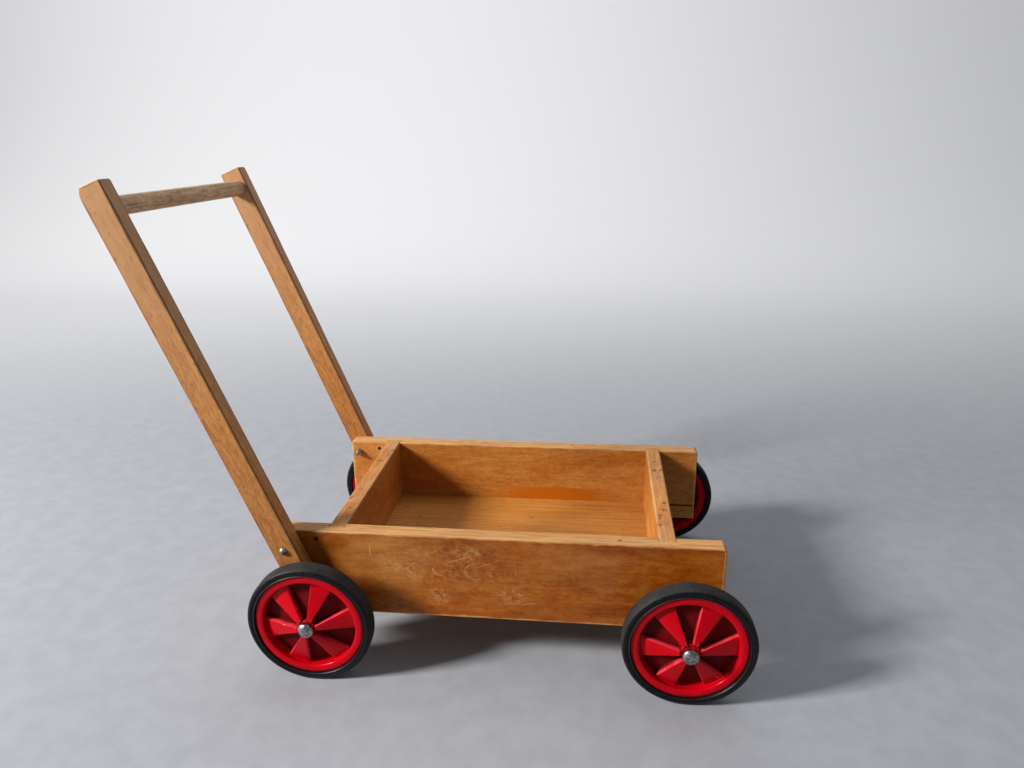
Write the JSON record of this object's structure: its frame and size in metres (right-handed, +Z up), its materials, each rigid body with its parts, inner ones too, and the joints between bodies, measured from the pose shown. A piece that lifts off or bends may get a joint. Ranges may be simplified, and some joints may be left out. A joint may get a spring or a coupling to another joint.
{
  "type": "doll wagon",
  "caption": "Wooden push-along doll wagon: a shallow open tray on red plastic wheels with black rubber tyres, pushed by a raked handle of two posts and a round bar.",
  "frame": {"origin": "on the floor under the middle of the wagon's overall box", "axes": "+X forwards, away from the handle; +Y the pusher's left; +Z up"},
  "size_m": [0.6032, 0.36, 0.4839],
  "materials": {
    "side_board_wood": "worn clear varnish",
    "end_board_wood": "worn clear varnish",
    "floor_plywood": "satin varnish",
    "post_wood": "satin varnish",
    "bar_wood": "worn bare wood",
    "bolt_steel": "bright zinc plate",
    "axle_steel": "bright drawn steel",
    "cap_steel": "scuffed bright steel",
    "spacer_plastic": "matt",
    "wheel_plastic": "gloss",
    "tyre_rubber": "matt, dusty tread"
  },
  "bodies": {
    "chassis": {"side_board_left": "side_board_wood", "side_board_right": "side_board_wood", "rear_board": "end_board_wood", "front_board": "end_board_wood", "floor_panel": "floor_plywood", "handle_post_left": "post_wood", "handle_post_right": "post_wood", "handle_bar": "bar_wood", "lock_bolts": "bolt_steel", "lock_nuts": "bolt_steel", "axle_washers": "axle_steel", "front_spacer_left": "spacer_plastic", "front_spacer_right": "spacer_plastic"},
    "rear_axle_rod": {"rear_axle": "axle_steel", "axle_cap_rear_left": "cap_steel", "axle_cap_rear_right": "cap_steel"},
    "front_axle_rod": {"front_axle": "axle_steel", "axle_cap_front_left": "cap_steel", "axle_cap_front_right": "cap_steel"},
    "rear_left_wheel": {"wheel_rear_left": "wheel_plastic", "tyre_rear_left": "tyre_rubber"},
    "rear_right_wheel": {"wheel_rear_right": "wheel_plastic", "tyre_rear_right": "tyre_rubber"},
    "front_left_wheel": {"wheel_front_left": "wheel_plastic", "tyre_front_left": "tyre_rubber"},
    "front_right_wheel": {"wheel_front_right": "wheel_plastic", "tyre_front_right": "tyre_rubber"}
  },
  "joints": [
    {"name": "rear_axle_turn", "type": "hinge", "parent": "chassis", "child": "rear_axle_rod", "pos_m": [-0.1263, 0, 0.0625], "axis": [0, 1, 0], "continuous": true},
    {"name": "rear_left_wheel_spin", "type": "hinge", "parent": "chassis", "child": "rear_left_wheel", "pos_m": [-0.1263, 0.155, 0.0625], "axis": [0, 1, 0], "continuous": true},
    {"name": "rear_right_wheel_spin", "type": "hinge", "parent": "chassis", "child": "rear_right_wheel", "pos_m": [-0.1263, -0.155, 0.0625], "axis": [0, 1, 0], "continuous": true},
    {"name": "front_axle_turn", "type": "hinge", "parent": "chassis", "child": "front_axle_rod", "pos_m": [0.2391, 0, 0.0625], "axis": [0, 1, 0], "continuous": true},
    {"name": "front_left_wheel_spin", "type": "hinge", "parent": "chassis", "child": "front_left_wheel", "pos_m": [0.2391, 0.1566, 0.0625], "axis": [0, 1, 0], "continuous": true},
    {"name": "front_right_wheel_spin", "type": "hinge", "parent": "chassis", "child": "front_right_wheel", "pos_m": [0.2391, -0.1566, 0.0625], "axis": [0, 1, 0], "continuous": true}
  ]
}
